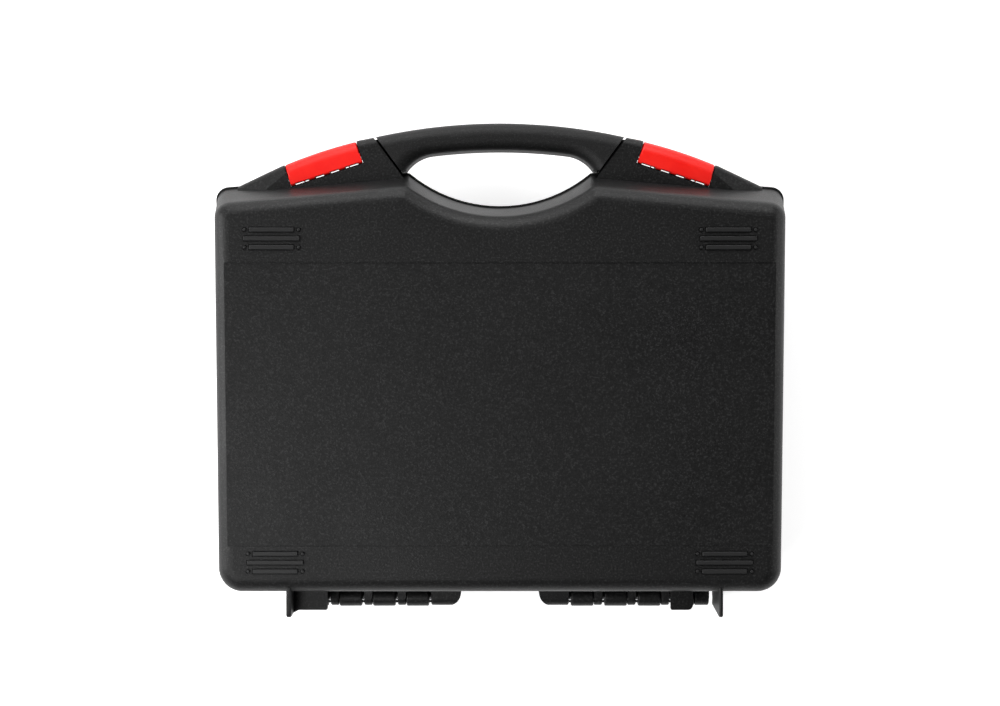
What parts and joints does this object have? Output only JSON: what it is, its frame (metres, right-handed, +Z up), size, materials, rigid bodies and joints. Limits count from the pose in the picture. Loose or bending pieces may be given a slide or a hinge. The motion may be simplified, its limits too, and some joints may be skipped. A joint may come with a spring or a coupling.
{
  "type": "tool case",
  "caption": "Hard plastic tool case with a hinged lid, a bow handle over a scooped front edge, and swing latches on the slopes beside it.",
  "frame": {"origin": "centre of the closed case, at the underside of the foot pads it lies on", "axes": "-Y is the handle side and +Y the hinge side, +X is right for someone who faces the handle, +Z points up out of the lid"},
  "size_m": [0.3506, 0.2996, 0.0866],
  "materials": {
    "shell_plastic": "fine grained",
    "handle_plastic": "fine grained",
    "latch_plastic": "semi-gloss",
    "fixing_steel": "plated",
    "pin_steel": "drawn"
  },
  "bodies": {
    "base": {"base_shell": "shell_plastic", "handle_lower_half": "handle_plastic", "handle_upper_half": "handle_plastic", "handle_screws": "fixing_steel", "left_hinge_pin": "pin_steel", "right_hinge_pin": "pin_steel"},
    "lid": {"lid_shell": "shell_plastic", "left_latch_pin": "pin_steel", "right_latch_pin": "pin_steel"},
    "left_latch": {"left_latch": "latch_plastic"},
    "right_latch": {"right_latch": "latch_plastic"}
  },
  "joints": [
    {"name": "lid_hinge", "type": "hinge", "parent": "base", "child": "lid", "pos_m": [0, 0.14265, 0.0433], "axis": [-1, 0, 0], "range_deg": [0, 180]},
    {"name": "left_latch_pivot", "type": "hinge", "parent": "lid", "child": "left_latch", "pos_m": [-0.107, -0.12086, 0.0535], "axis": [-0.9497, 0.3132, 0], "range_deg": [0, 90]},
    {"name": "right_latch_pivot", "type": "hinge", "parent": "lid", "child": "right_latch", "pos_m": [0.107, -0.12086, 0.0535], "axis": [-0.9497, -0.3132, 0], "range_deg": [0, 90]}
  ]
}
